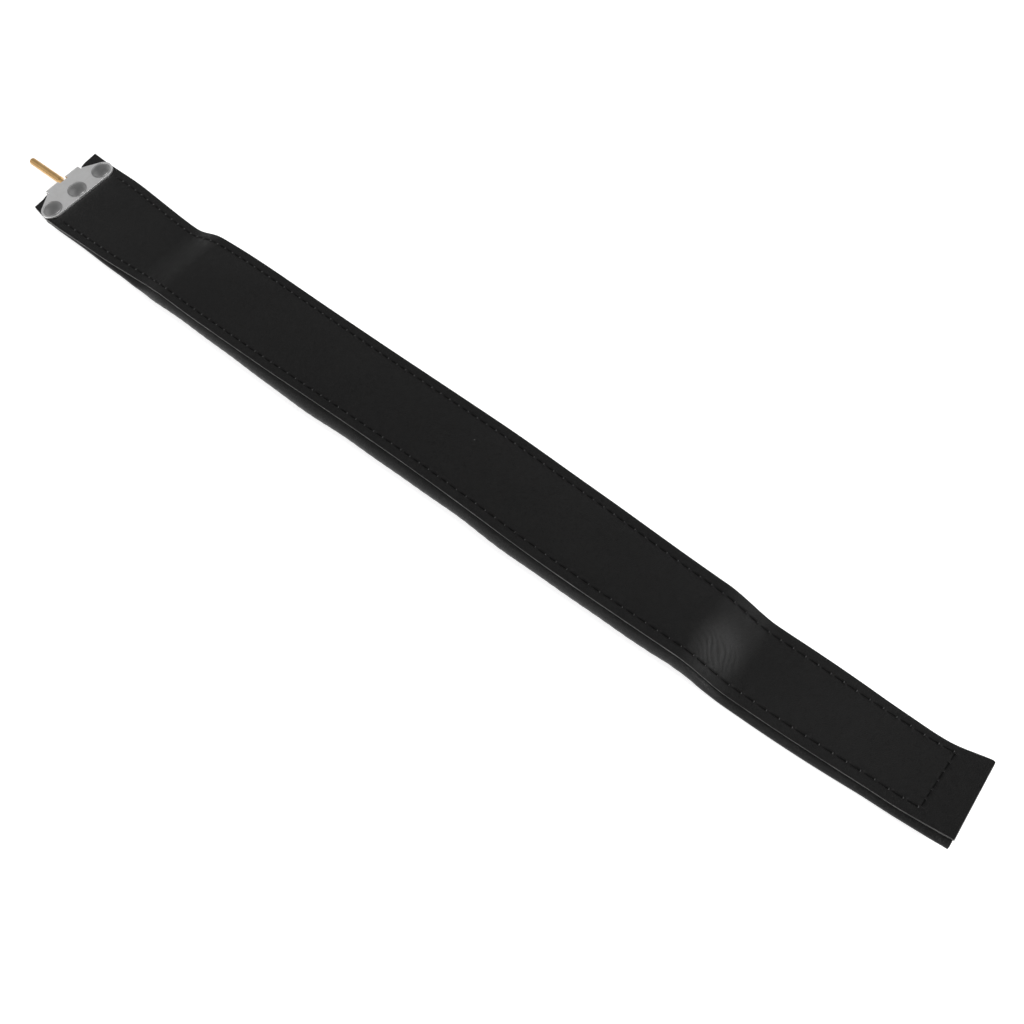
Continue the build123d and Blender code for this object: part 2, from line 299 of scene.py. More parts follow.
@dataclass
class StrapForm:
    """Shape of the whole strap: widths, levels, seams and the way that the leather lies."""

    rivet_x: float
    start: float
    end: float
    plate_face: float
    pad_face: float
    plain_face: float
    face_t: float = 1.8
    pad_rise: tuple[float, float] = (71.0, 94.0)
    pad_fall: tuple[float, float] = (384.0, 408.0)
    plate_bend: tuple[float, float] = (19.0, 73.0)
    plain_bend: tuple[float, float] = (412.0, 446.0)
    wrinkled: tuple[float, float] = (378.0, 415.0)
    polished: tuple[float, float] = (394.0, -5.5)
    split: float = 238.0
    seam_margin: float = 4.0
    seam_start: float = 9.0
    cross_seam: float = 478.7
    pitch: float = 5.2
    curl_from: float = 450.0
    curl: float = 5.0
    relief_x: float = -9.3
    relief_half: float = 11.2
    cross_count: int = 6
    half_width: Stations = Stations((
        (-12.0, 21.5), (0.0, 22.0), (20.0, 22.0), (45.0, 21.0), (75.0, 19.5), (90.0, 20.5), (120.0, 21.0),
        (230.0, 19.5), (320.0, 19.0), (390.0, 17.0), (430.0, 16.5), (475.0, 15.0), (490.0, 15.5)))
    middle_line: Stations = Stations((
        (-12.0, 1.0), (0.0, 0.0), (25.0, 0.0), (50.0, -0.5), (75.0, -0.5), (100.0, 0.0), (170.0, 0.0),
        (225.0, 0.5), (270.0, 0.5), (315.0, -0.5), (355.0, -1.0), (395.0, -1.0), (460.0, 0.0), (475.0, 0.0),
        (490.0, 1.5)))
    near_proud: Stations = Stations((
        (-12.0, -0.5), (0.0, 0.0), (30.0, 0.5), (60.0, 2.0), (75.0, 3.0), (130.0, 2.5), (180.0, 4.0),
        (230.0, 4.0), (280.0, 3.5), (370.0, 3.0), (440.0, 3.0), (470.0, 2.5), (490.0, 3.0)))
    far_share: float = 0.38
    far_seam_drift: float = 1.4
    start_skew: float = 0.08
    end_skew: float = 0.06

    @classmethod
    def from_frame(cls) -> "StrapForm":
        """Read the strap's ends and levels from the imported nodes."""
        low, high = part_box("rivet_cap_middle")
        rivet_x = (low.x + high.x) / 2 / MM
        return cls(
            rivet_x=rivet_x,
            start=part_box("face_leather_plate_end")[0].x / MM - rivet_x,
            end=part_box("face_leather_plain_end")[1].x / MM - rivet_x,
            plate_face=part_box("face_leather_plate_end")[1].z / MM,
            pad_face=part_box("face_leather_pad")[1].z / MM,
            plain_face=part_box("face_leather_plain_end")[1].z / MM,
        )

    def world(self, s: np.ndarray, y: np.ndarray, z: np.ndarray) -> np.ndarray:
        """Places in the row frame, in metres."""
        return np.stack([s + self.rivet_x, y + 0 * s, z + 0 * s], axis=-1) * MM

    def point(self, s: float, y: float = 0.0, z: float = 0.0) -> Vector:
        """One place in the row frame, in metres."""
        return Vector((s + self.rivet_x, y, z)) * MM

    def lift(self, s: np.ndarray) -> np.ndarray:
        """How far the plain end curls up."""
        return self.curl * (np.clip(s - self.curl_from, 0, None) / (self.end - self.curl_from)) ** 2

    def pad_share(self, s: np.ndarray) -> np.ndarray:
        """1 over the padded stretch and 0 at both tabs."""
        return ease(s, self.pad_rise) - ease(s, self.pad_fall)

    def level(self, s: np.ndarray) -> np.ndarray:
        """Height of the face leather before its cross section is shaped."""
        climb = (self.pad_face - self.plate_face) * ease(s, self.pad_rise)
        drop = (self.pad_face - self.plain_face) * ease(s, self.pad_fall)
        return self.plate_face + climb - drop + self.lift(s)

    def seam(self, s: np.ndarray, side: float | np.ndarray = -1.0) -> np.ndarray:
        """Distance of the near (below 0) or far seam line from the middle line."""
        drift = self.far_seam_drift * (np.asarray(side) > 0) * ease(s, (430.0, self.cross_seam))
        return self.half_width.at(s) - self.seam_margin + drift

    def proud(self, s: np.ndarray, side: Side) -> np.ndarray:
        """How far the turned lining stands out past the face leather."""
        uneven = 0.16 * np.sin(s / 9.0 + side.value) + 0.10 * np.sin(s / 5.6 + 2.0 * side.value)
        reach = self.near_proud.at(s) + uneven * self.pad_share(s)
        return reach * (self.far_share if side is Side.FAR else 1.0)

    def stitch_phase(self, s: np.ndarray) -> np.ndarray:
        """Distance to the nearest needle hole, as a share of the stitch, from 0 to 0.5."""
        turn = (self.cross_seam - s) / self.pitch
        return np.abs(turn - np.rint(turn))

    def squared_ends(self, s: np.ndarray, y: np.ndarray) -> np.ndarray:
        """Places along the strap with the fold's relief cut in one end and both ends a little askew."""
        out, half = np.abs(y), self.relief_half
        relief = (self.relief_x - self.start) * (1 - ease(out, (half - 0.5, half + 0.4)))
        relief -= self.start_skew * y * ease(out, (half - 1, half + 4))
        start_share, end_share = 1 - ease(s, (self.start, 6.0)), ease(s, (470.0, self.end))
        return s + relief * start_share - self.end_skew * y * end_share

    def face(self, s: np.ndarray, y: np.ndarray) -> np.ndarray:
        """Height of the face leather's upper side.

        Args:
            s: Places along the strap.
            y: Places across it.

        Returns:
            Heights, with the dome, the pulled-in seams and the wrinkles.
        """
        half, across = self.half_width.at(s), y - self.middle_line.at(s)
        inside = half - np.abs(across)
        seam = self.seam(s, across)
        pad = self.pad_share(s)
        free = ease(s, (8.0, 22.0))
        crown = np.clip(1 - (across / seam) ** 2, 0, None)
        z = self.level(s) - 0.02 + pad * (0.75 * crown - 0.3)
        z += self.long_seam_dip(s, seam - np.abs(across), pad) + self.cross_seam_dip(s, across, seam)
        z += free * self.unevenness(s, across, pad)
        return z - 0.12 * free * hump(inside, 0.0, 0.5)

    def long_seam_dip(self, s: np.ndarray, off: np.ndarray, pad: np.ndarray) -> np.ndarray:
        """Channel of a long seam, pulled down under each stitch, with a raised nub at each needle hole.

        Args:
            s: Places along the strap.
            off: Distances from the seam line.
            pad: Share of padding there.

        Returns:
            Heights to add.
        """
        begun = ease(s, (self.seam_start - 2, self.seam_start + 2))
        sewn = begun * (1 - ease(s, (self.cross_seam, self.cross_seam + 1.5)))
        phase = self.stitch_phase(s)
        pull = 0.72 - 0.28 * np.cos(2 * math.pi * phase)
        channel = -(0.34 + 0.2 * pad) * pull * hump(off, 0.0, 0.45)
        draw_in = -0.14 * pad * hump(off, 0.0, 2.2)
        nub = 0.55 * hump(phase * self.pitch, 0.0, 0.42) * hump(off, 0.32, 0.3)
        return sewn * (channel + draw_in + nub)

    def cross_seam_dip(self, s: np.ndarray, across: np.ndarray, seam: np.ndarray) -> np.ndarray:
        """Channel of the short seam across the plain end."""
        inner = ease(seam - np.abs(across), (-1.0, 0.0))
        turn = (across / seam + 1) / 2 * self.cross_count
        phase = np.abs(turn - np.rint(turn))
        pull = 0.72 - 0.28 * np.cos(2 * math.pi * phase)
        nub = 0.3 * hump(phase * 3.8, 0.0, 0.5)
        return inner * hump(s, self.cross_seam, 0.45) * (nub - 0.36 * pull)

    def unevenness(self, s: np.ndarray, across: np.ndarray, pad: np.ndarray) -> np.ndarray:
        """Hand-made waviness of the face, and the wrinkles where the padding ends.

        Args:
            s: Places along the strap.
            across: Distances from the middle line.
            pad: Share of padding there.

        Returns:
            Heights to add.
        """
        wave = 0.10 * np.sin(s / 21.0 + across / 17.0) + 0.06 * np.sin(s / 8.3 - across / 7.1 + 1.3)
        wave += 0.05 * np.sin(s / 33.0 - across / 5.5)
        rise_fold = 0.10 * hump(s - 0.35 * across, 78.0, 7.5) - 0.06 * hump(s - 0.2 * across, 91.0, 5.5)
        fan_r = np.hypot(s - 383.0, across + 17.0)
        fan = np.sin(2 * math.pi * fan_r / 1.9 + 1.5 * np.sin(across / 1.7) + 1.1 * np.sin(s / 1.3))
        fan_weight = hump(s, self.polished[0], 8.5) * hump(across, self.polished[1], 7.0)
        creases = np.sin(2 * math.pi * (s + 0.5 * across) / 5.2 + np.sin(across / 3.0))
        near_seam = hump(np.abs(across) - self.seam(s, across), -1.5, 3.2)
        ends = hump(s, 396.0, 12.0) + 0.8 * hump(s, 82.0, 10.0) + 0.1 * pad
        return wave + rise_fold + 0.20 * fan * fan_weight + 0.06 * creases * near_seam * ends


# ---------------------------------------------------------------- finishes


class Wiring:
    """Short ways to add and link nodes in one tree."""

    def __init__(self, tree: bpy.types.NodeTree) -> None:
        """Keep the tree."""
        self.tree = tree

    def feed(self, target: bpy.types.NodeSocket, value: object) -> None:
        """Link an input to a socket, or set it to a plain value."""
        if isinstance(value, bpy.types.NodeSocket):
            self.tree.links.new(value, target)
        else:
            target.default_value = value

    def node(self, kind: str, **settings: object) -> bpy.types.Node:
        """Add a node and set its properties and inputs.

        Args:
            kind: Node type without the ShaderNode prefix.
            settings: Properties in lower case, or inputs as in_Name, with spaces as underscores.

        Returns:
            The node.
        """
        made = self.tree.nodes.new(f"ShaderNode{kind}")
        for key, value in settings.items():
            if key.startswith("in_"):
                self.feed(made.inputs[key[3:].replace("_", " ")], value)
            else:
                setattr(made, key, value)
        return made

    def sums(self, kind: str, operation: str, *values: object) -> bpy.types.NodeSocket:
        """One Math or VectorMath node on sockets or values, and its result."""
        made = self.node(kind, operation=operation)
        for target, value in zip(made.inputs, values):
            self.feed(target, value)
        return made.outputs["Value" if operation == "DISTANCE" else 0]

    def maths(self, operation: str, *values: object) -> bpy.types.NodeSocket:
        """One maths node on sockets or numbers, and its result."""
        return self.sums("Math", operation, *values)

    def noise(self, place_: bpy.types.NodeSocket, scale: object, detail: float) -> bpy.types.NodeSocket:
        """Plain noise from 0 to 1."""
        return self.node("TexNoise", in_Vector=place_, in_Scale=scale, in_Detail=detail).outputs["Fac"]

    def ramp(self, value: bpy.types.NodeSocket, low: float, high: float, to: tuple[float, float] = (0.0, 1.0)
             ) -> bpy.types.NodeSocket:
        """Smooth step of a value from low to high."""
        made = self.node("MapRange", interpolation_type="SMOOTHSTEP", in_Value=value, in_From_Min=low,
                         in_From_Max=high, in_To_Min=to[0], in_To_Max=to[1])
        return made.outputs[0]

    def mix(self, share: bpy.types.NodeSocket, a: object, b: object) -> bpy.types.NodeSocket:
        """Mix two colours by a share."""
        made = self.node("Mix", data_type="RGBA", in_Factor=share)
        self.feed(made.inputs[6], a)
        self.feed(made.inputs[7], b)
        return made.outputs[2]

    def bump(self, height: bpy.types.NodeSocket, strength: float, depth: float) -> bpy.types.NodeSocket:
        """Normal of a relief."""
        return self.node("Bump", in_Strength=strength, in_Distance=depth, in_Height=height).outputs["Normal"]

    def group(self, tree: bpy.types.NodeTree, **inputs: object) -> bpy.types.NodeOutputs:
        """Place a shader group, set its inputs and give its outputs."""
        made = self.tree.nodes.new("ShaderNodeGroup")
        made.node_tree = tree
        for key, value in inputs.items():
            self.feed(made.inputs[key], value)
        return made.outputs


class Surface(Wiring):
    """A material being wired on its Principled shader."""

    def __init__(self, name: str) -> None:
        """Start the material."""
        self.material = bpy.data.materials.new(name)
        self.material.use_nodes = True
        super().__init__(self.material.node_tree)
        self.place = self.node("TexCoord").outputs["Object"]

    def wear(self, **inputs: object) -> bpy.types.Material:
        """Set the shader's inputs, given with underscores for spaces, and give the material."""
        for key, value in inputs.items():
            self.feed(self.tree.nodes["Principled BSDF"].inputs[key.replace("_", " ")], value)
        return self.material


def grey(value: float, warmth: float = 0.0) -> tuple[float, float, float, float]:
    """A grey in linear light, a little warm or cool."""
    return (value * (1 + warmth), value, value * (1 - warmth), 1.0)


def effect(name: str, number: str, default: float, *results: str
           ) -> tuple[Wiring, bpy.types.NodeOutputs, bpy.types.NodeInputs]:
    """Start a shader group that reads a place and one number.

    Args:
        name: Name of the group.
        number: Name of the number.
        default: The number's own value.
        results: Names of what the group puts out.

    Returns:
        The group's wiring, what it is given and what it puts out.
    """
    tree = bpy.data.node_groups.new(name, "ShaderNodeTree")
    tree.interface.new_socket("Vector", in_out="INPUT", socket_type="NodeSocketVector")
    tree.interface.new_socket(number, in_out="INPUT", socket_type="NodeSocketFloat").default_value = default
    for result in results:
        tree.interface.new_socket(result, in_out="OUTPUT", socket_type="NodeSocketFloat")
    given, out = tree.nodes.new("NodeGroupInput"), tree.nodes.new("NodeGroupOutput")
    return Wiring(tree), given.outputs, out.inputs


class Effects:
    """Shader groups that several finishes share."""

    def __init__(self) -> None:
        """Build each group once."""
        self.grain = self.build_grain()
        self.smudge = self.build_smudge()
        self.specks = self.build_specks()
        self.scratches = self.build_scratches()

    def build_grain(self) -> bpy.types.NodeTree:
        """Leather grain: rounded cells with creases between them and pores."""
        w, given, out = effect("leather_grain", "Scale", 1500.0, "Height", "Crease")
        place_, scale = given["Vector"], given["Scale"]
        warp = w.node("TexNoise", in_Vector=place_, in_Scale=260.0, in_Detail=2.0)
        bent = w.sums("VectorMath", "MULTIPLY_ADD", warp.outputs["Color"], (0.0012, 0.0012, 0.0012), place_)
        cells = w.node("TexVoronoi", feature="DISTANCE_TO_EDGE", in_Vector=bent, in_Scale=scale)
        crease = w.ramp(cells.outputs["Distance"], 0.0, 0.16)
        pores = w.maths("MULTIPLY", w.noise(place_, w.maths("MULTIPLY", scale, 2.3), 3.0), 0.5)
        w.feed(out["Height"], w.maths("ADD", w.maths("MULTIPLY", crease, 0.75), pores))
        w.feed(out["Crease"], crease)
        return w.tree

    def build_smudge(self) -> bpy.types.NodeTree:
        """Slow patches of handling and wax."""
        w, given, out = effect("handling_patches", "Scale", 40.0, "Mask")
        noise = w.node("TexNoise", in_Vector=given["Vector"], in_Scale=given["Scale"], in_Detail=5.0,
                       in_Roughness=0.6, in_Distortion=0.8)
        w.feed(out["Mask"], w.ramp(noise.outputs["Fac"], 0.35, 0.68))
        return w.tree

    def build_specks(self) -> bpy.types.NodeTree:
        """Sparse pale dust specks."""
        w, given, out = effect("dust_specks", "Scale", 90.0, "Mask")
        cells = w.node("TexVoronoi", in_Vector=given["Vector"], in_Scale=given["Scale"])
        dot = w.ramp(cells.outputs["Distance"], 0.042, 0.016)
        pick = w.node("SeparateColor", in_Color=cells.outputs["Color"])
        w.feed(out["Mask"], w.maths("MULTIPLY", dot, w.ramp(pick.outputs[0], 0.90, 0.93)))
        return w.tree

    def build_scratches(self) -> bpy.types.NodeTree:
        """Fine drawn lines along one direction, with a slower tone under them."""
        w, given, out = effect("drawn_lines", "Fine", 900.0, "Height", "Tone")
        w.feed(out["Height"], w.noise(given["Vector"], given["Fine"], 4.0))
        w.feed(out["Tone"], w.ramp(w.noise(given["Vector"], 120.0, 3.0), 0.3, 0.7))
        return w.tree


@dataclass(frozen=True)
class LeatherFinish:
    """Dyed and waxed leather, polished where it flexes."""

    name: str
    tone: float
    worn_tone: float
    roughness: float
    grain_scale: float
    grain_depth: float
    specular: float = 0.5
    speckled: bool = True
    flexed: tuple[float, float, float] | None = None
    flexed_reach: tuple[float, float] = (0.002, 0.014)
    flexed_specular: float = 0.38

    def material(self, effects: Effects) -> bpy.types.Material:
        """Build the finish."""
        w = Surface(self.name)
        grain = w.group(effects.grain, Vector=w.place, Scale=self.grain_scale)
        patches = w.group(effects.smudge, Vector=w.place, Scale=34.0)["Mask"]
        broad = w.group(effects.smudge, Vector=w.place, Scale=9.0)["Mask"]
        colour = w.mix(patches, grey(self.tone, 0.01), grey(self.worn_tone, 0.03))
        # Darker colour in the grain's creases: painted shade.
        colour = w.mix(w.maths("SUBTRACT", 1.0, grain["Crease"]), colour, grey(self.tone * 0.55))
        if self.speckled:
            specks = w.group(effects.specks, Vector=w.place, Scale=95.0)["Mask"]
            colour = w.mix(w.maths("MULTIPLY", specks, 0.5), colour, grey(0.16))
        rough = w.maths("MULTIPLY_ADD", patches, 0.07, self.roughness)
        rough = w.maths("ADD", rough, w.maths("MULTIPLY", broad, 0.06))
        w.wear(Base_Color=colour, Roughness=rough, Specular_IOR_Level=self.specular,
               Normal=w.bump(grain["Height"], 1.0, self.grain_depth))
        if self.flexed:
            away = w.sums("VectorMath", "DISTANCE", w.place, self.flexed)
            w.wear(Specular_IOR_Level=w.ramp(away, *self.flexed_reach, (self.flexed_specular, self.specular)))
        return w.material


@dataclass(frozen=True)
class CutEdgeFinish:
    """Raw cut leather edge: fibres, dyed but paler."""

    name: str = "cut_edge"

    def material(self, effects: Effects) -> bpy.types.Material:
        """Build the finish."""
        w = Surface(self.name)
        stretched = w.node("Mapping", in_Vector=w.place, in_Scale=(1.0, 1.0, 4.0)).outputs[0]
        fibres = w.noise(stretched, 1300.0, 4.0)
        patches = w.group(effects.smudge, Vector=w.place, Scale=120.0)["Mask"]
        share = w.maths("MULTIPLY", w.ramp(fibres, 0.35, 0.65), patches)
        return w.wear(Base_Color=w.mix(share, grey(0.06, 0.01), grey(0.17, 0.02)),
                      Roughness=w.ramp(fibres, 0.3, 0.7, (0.55, 0.85)), Normal=w.bump(fibres, 0.8, 0.00012))


@dataclass(frozen=True)
class MetalFinish:
    """Bare or plated metal with drawn lines, patches and a worn tone."""

    name: str
    colour: tuple[float, float, float, float]
    dull: tuple[float, float, float, float]
    roughness: float
    stretch: tuple[float, float, float]
    line_depth: float = 0.000012

    def material(self, effects: Effects) -> bpy.types.Material:
        """Build the finish."""
        w = Surface(self.name)
        drawn = w.node("Mapping", in_Vector=w.place, in_Scale=self.stretch).outputs[0]
        lines = w.group(effects.scratches, Vector=drawn, Fine=1400.0)
        patches = w.group(effects.smudge, Vector=w.place, Scale=170.0)["Mask"]
        rough = w.maths("MULTIPLY_ADD", lines["Tone"], 0.10, self.roughness)
        return w.wear(Base_Color=w.mix(w.maths("MULTIPLY", patches, 0.7), self.colour, self.dull),
                      Roughness=w.maths("ADD", rough, w.maths("MULTIPLY", patches, 0.08)), Metallic=1.0,
                      Normal=w.bump(lines["Height"], 0.6, self.line_depth))


def thread_material() -> bpy.types.Material:
    """Twisted black polyester thread with a painted glint near one end of each stitch; the plies run on the
    piece's own UV map.
    """
    w = Surface("sewing_thread")
    own = w.node("UVMap", uv_map="UVMap").outputs["UV"]
    twisted = w.node("Mapping", in_Vector=own, in_Scale=(5.0, 2.0, 1.0), in_Rotation=(0.0, 0.0, 0.6))
    wave = w.node("TexWave", in_Vector=twisted.outputs[0], in_Scale=1.0, in_Distortion=0.6, in_Detail=2.0)
    plies = wave.outputs["Fac"]
    length = w.node("SeparateXYZ", in_Vector=own).outputs["X"]
    # Paler colour over the raised loop near one end of each stitch: a painted glint.
    loop_with_painted_glint = w.maths("MULTIPLY", w.ramp(length, 0.82, 0.87), w.ramp(length, 0.96, 0.92))
    colour = w.mix(plies, grey(0.0015), grey(0.005, 0.02))
    return w.wear(Base_Color=w.mix(loop_with_painted_glint, colour, grey(0.075)), Roughness=w.ramp(plies, 0.0, 1.0, (0.62, 0.5)),
                  Specular_IOR_Level=0.1, Normal=w.bump(plies, 0.9, 0.00015))


def tape_material() -> bpy.types.Material:
    """Plain woven stretch-stop tape."""
    w = Surface("woven_tape")
    warp, weft = (w.node("TexWave", in_Vector=w.place, in_Scale=420.0, bands_direction=way).outputs["Fac"]
                  for way in "YX")
    weave = w.maths("MULTIPLY", warp, weft)
    return w.wear(Base_Color=w.mix(weave, grey(0.35, 0.04), grey(0.62, 0.05)), Roughness=0.85,
                  Normal=w.bump(weave, 0.8, 0.0002))


def foam_material() -> bpy.types.Material:
    """Open-cell foam."""
    w = Surface("pad_foam")
    cells = w.node("TexVoronoi", in_Vector=w.place, in_Scale=1600.0).outputs["Distance"]
    return w.wear(Base_Color=w.mix(w.ramp(cells, 0.1, 0.6), grey(0.10), grey(0.26)), Roughness=0.95,
                  Normal=w.bump(cells, 0.9, 0.0003))


class Finishes:
    """Every material, by what it is on."""

    def __init__(self, flexed: Vector) -> None:
        """Build each finish once.

        Args:
            flexed: Middle of the place where the face leather is polished by flexing.
        """
        leathers = (LeatherFinish("face_leather_black", 0.0038, 0.0058, 0.42, 1500.0, 0.00009, 0.19,
                                  flexed=tuple(flexed)),
                    LeatherFinish("lining_leather_black", 0.0042, 0.0065, 0.36, 1200.0, 0.00010, 0.36, False),
                    LeatherFinish("leather_flesh_side", 0.018, 0.03, 0.85, 2400.0, 0.00008, 0.2, False))
        metals = (MetalFinish("satin_zinc_plate", grey(0.82), grey(0.73, 0.01), 0.36, (0.25, 1.0, 1.0)),
                  MetalFinish("gunmetal_cap", grey(0.27), grey(0.20), 0.24, (1.0, 1.0, 1.0)),
                  MetalFinish("turned_brass", (0.72, 0.46, 0.20, 1.0), (0.56, 0.34, 0.14, 1.0), 0.14,
                              (1.0, 0.15, 0.15)))
        fx = Effects()
        self.face, self.lining, self.flesh = (finish.material(fx) for finish in leathers)
        self.zinc, self.gunmetal, self.brass = (finish.material(fx) for finish in metals)
        self.edge = CutEdgeFinish().material(fx)
        self.thread, self.tape, self.foam = thread_material(), tape_material(), foam_material()


# ---------------------------------------------------------------- leathers


def along(form: StrapForm, half: Half, step: float = 0.52, fine: float = 0.42) -> np.ndarray:
    """Places of the mesh rows of one half of the strap.

    Args:
        form: The strap's shape.
        half: Which half.
        step: Spacing of the rows.
        fine: Spacing where the padding ends and the leather wrinkles.

    Returns:
        Places along the strap.
    """
    if half is Half.PLATE:
        return np.linspace(form.start, form.split, math.ceil((form.split - form.start) / step) + 1)
    low, high = form.wrinkled
    spans = ((form.split, low, step), (low, high, fine), (high, form.end, step))
    runs = [np.linspace(a, b, math.ceil((b - a) / gap), endpoint=False) for a, b, gap in spans]
    return np.concatenate([*runs, [form.end]])


def stand_in(piece: bpy.types.Object, stem: str, half: Half) -> None:
    """Put one length in the place of its nodes.

    Args:
        piece: The length.
        stem: What the names of its nodes begin with.
        half: Which half of the strap it is.
    """
    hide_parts(*(f"{stem}_{part}" for part in half.parts))
    if half is Half.PLATE:
        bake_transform(piece)
    else:
        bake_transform(piece)


@dataclass
class FaceLeather:
    """Top leather with raw cut edges, in two lengths that butt in the padded middle."""

    form: StrapForm
    finishes: Finishes
    edge_columns: tuple[float, ...] = (
        0.0, 0.3, 0.8, 1.5, 2.3, 2.8, 3.15, 3.4, 3.65, 3.85, 4.05, 4.3, 4.55, 4.85, 5.3, 5.9)
    inner_columns: int = 38

    def columns(self, s: np.ndarray) -> np.ndarray:
        """Places across the strap of every column, for every row."""
        half = self.form.half_width.at(s)[:, None]
        middle = self.form.middle_line.at(s)[:, None]
        margin = np.array(self.edge_columns)[None, :]
        near = middle - (half - margin)
        far = middle + (half - margin[:, ::-1])
        shares = np.linspace(-1, 1, self.inner_columns + 2)[None, 1:-1]
        return np.concatenate([near, middle + shares * (half - self.edge_columns[-1]), far], axis=1)

    def build(self, half: Half) -> bpy.types.Object:
        """Make one length, from a grid that is laid to the face and given its thickness."""
        rows = along(self.form, half)
        across = self.columns(rows)
        piece, row, column = grid_indices(f"face_leather_{half.value}_length", len(rows), across.shape[1])
        y = across[row, column]
        s = self.form.squared_ends(rows[row], y)
        place(piece, self.form.world(s, y, self.form.face(s, y)))
        dressed(piece, "face_leather", self.finishes.face, self.finishes.edge, self.finishes.flesh)
        apply_modifier(piece, "SOLIDIFY", thickness=self.form.face_t * MM, offset=-1.0, use_rim=True,
                       material_offset_rim=1, material_offset=2)
        apply_modifier(piece, "BEVEL", width=0.22 * MM, segments=2, limit_method="ANGLE",
                       angle_limit=math.radians(60), material=-1)
        smooth(piece, 50)
        return piece

    def fit(self) -> None:
        """Build both lengths and put them in the frame."""
        for half in Half:
            piece = self.build(half)
            stand_in(piece, "face_leather", half)
            rows = along(self.form, half)
            width = 2 * float(np.mean(self.form.half_width.at(rows)))
            LOG.info("%s: %d faces", piece.name, len(piece.data.polygons))


@dataclass
class LiningLeather:
    """Lower leather: turned in under the face, round the foam's edge, into the seam and under the pad."""

    form: StrapForm
    finishes: Finishes
    thickness: float = 0.9
    pad_roll_bottom: float = 2.4
    tab_bottom: float = 2.0
    seam_stack: float = 3.2
    roll_steps: int = 15
    under_steps: int = 7
    bulge_steps: int = 18

    def floor(self, s: np.ndarray) -> np.ndarray:
        """Lowest level of the middle of the lining."""
        return self.tab_bottom * (1 - ease(s, (68.0, 88.0))) + self.form.lift(s)

    def roll_bottom(self, s: np.ndarray) -> np.ndarray:
        """Lowest level of the turned edge."""
        rise = (self.pad_roll_bottom - self.tab_bottom) * ease(s, self.form.pad_rise)
        return self.tab_bottom + rise - self.pad_roll_bottom * ease(s, self.form.pad_fall) + self.form.lift(s)

    def half_section(self, s: np.ndarray, side: Side) -> tuple[np.ndarray, np.ndarray]:
        """Section from the turned-in edge, round the roll and the seam, to the middle underneath.

        Args:
            s: Places along the strap.
            side: Which long side.

        Returns:
            Distances from the middle line and heights, a row for each place.
        """
        form, s = self.form, s[:, None]
        half, proud, pad = form.half_width.at(s), form.proud(s, side), form.pad_share(s)
        edge_y = form.middle_line.at(s) + side.value * half
        under_face = form.face(s, edge_y) - form.face_t - 0.04
        top, bottom = under_face - 0.1, self.roll_bottom(s)
        rise = (top - bottom) / 2
        reach = np.minimum(rise, proud + 1.0)
        centre_u, centre_z = half + proud - reach, (top + bottom) / 2
        turn_u = centre_u - np.array([[4.4, 2.6, 1.3, 0.6]])
        turn_z = under_face - np.array([[0.0, 0.0, 0.02, 0.06]])
        angle = np.linspace(math.pi / 2, -math.pi / 2, self.roll_steps)[None, :]
        pucker = 1 + 0.012 * pad * np.sin(s * 1.21 + side.value)
        pucker += 0.02 * np.sin(s / 1.7) * hump(s, 392.0, 22.0)
        roll_u = centre_u + reach * pucker * np.cos(angle)
        roll_z = centre_z + rise * np.sin(angle)
        seam_u = form.seam(s, side.value)
        phase = form.stitch_phase(s)
        sewn_z = under_face - self.seam_stack + 0.12 * np.cos(2 * math.pi * phase)
        seam_z = (1 - pad) * (bottom + 0.3) + pad * sewn_z
        share = np.linspace(0, 1, self.under_steps + 1)[None, 1:]
        under_u = centre_u + (seam_u - centre_u) * share
        under_z = bottom + (seam_z - bottom) * share ** 1.5
        inward = np.linspace(1, 0, self.bulge_steps + 1)[None, 1:]
        floor = self.floor(s)
        bulge_z = floor + (seam_z - floor) * (1 - np.sqrt(1 - inward ** 4))
        uneven = 0.25 * pad * np.sin(s / 3.7 + 5 * inward) * hump(inward, 0.88, 0.09)
        return (np.concatenate([turn_u, roll_u, under_u, seam_u * inward], axis=1),
                np.concatenate([turn_z, roll_z, under_z, bulge_z + uneven], axis=1))

    def section(self, s: np.ndarray) -> tuple[np.ndarray, np.ndarray]:
        """Whole section from the far turned-in edge to the near one."""
        middle = self.form.middle_line.at(s)[:, None]
        far_u, far_z = self.half_section(s, Side.FAR)
        near_u, near_z = self.half_section(s, Side.NEAR)
        return (middle + np.concatenate([far_u, -near_u[:, -2::-1]], axis=1),
                np.concatenate([far_z, near_z[:, -2::-1]], axis=1))

    def build(self, half: Half) -> bpy.types.Object:
        """Make one length from a grid wrapped round the section."""
        rows = along(self.form, half, 0.8, 0.6)
        across, height = self.section(rows)
        piece, row, column = grid_indices(f"lining_leather_{half.value}_length", len(rows), across.shape[1])
        y = across[row, column]
        s = self.form.squared_ends(rows[row], y)
        place(piece, self.form.world(s, y, height[row, column]))
        dressed(piece, "lining_leather", self.finishes.lining, self.finishes.edge, self.finishes.flesh)
        apply_modifier(piece, "SOLIDIFY", thickness=self.thickness * MM, offset=-1.0, use_rim=True,
                       material_offset_rim=1, material_offset=2)
        smooth(piece, 60)
        return piece

    def fit(self) -> None:
        """Build both lengths and put them in the frame."""
        for half in Half:
            piece = self.build(half)
            stand_in(piece, "lining_leather", half)
            rows = along(self.form, half, 0.8, 0.6)
            across, height = self.section(rows[::8])
            LOG.info("%s: %d faces", piece.name, len(piece.data.polygons))


